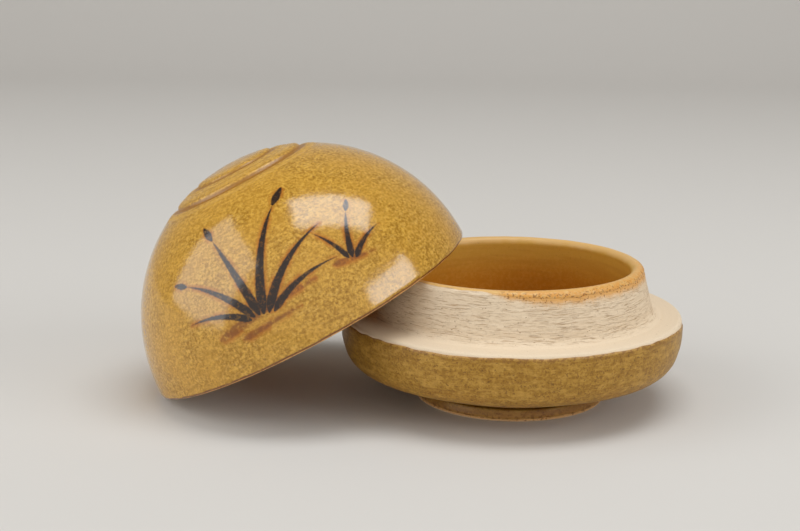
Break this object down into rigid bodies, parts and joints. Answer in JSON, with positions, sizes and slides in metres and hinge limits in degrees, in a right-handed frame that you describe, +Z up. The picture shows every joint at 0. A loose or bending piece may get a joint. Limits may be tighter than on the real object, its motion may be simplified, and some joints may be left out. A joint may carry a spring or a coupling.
{
  "type": "kogo incense box",
  "caption": "Small round stoneware box for incense with a footed base, a tall seating flange and a loose domed lid with a grooved crown, shown open with the lid leaning on the base.",
  "frame": {"origin": "on the axis of the base, on the table under its foot", "axes": "+Z up, +X from the leaning lid towards the base, along the longest side; the part is even about the XZ plane"},
  "size_m": [0.108, 0.0684, 0.05],
  "materials": {
    "bare_clay": "unglazed pale clay with fine turning lines",
    "base_glaze": "satin ochre glaze with faint turning streaks",
    "lid_glaze": "glossy mottled ochre glaze with an iron-brown brush design",
    "inner_glaze": "thin amber glaze"
  },
  "bodies": {
    "base": {"base_body": "bare_clay", "base_outer_glaze": "base_glaze", "base_inner_glaze": "inner_glaze"},
    "lid": {"lid_body": "bare_clay", "lid_outer_glaze": "lid_glaze", "lid_inner_glaze": "inner_glaze"}
  },
  "joints": [
    {"name": "lid_lift", "type": "slide", "parent": "base", "child": "lid", "axis": [0, 0, 1], "range_m": [0, 0.04]}
  ]
}
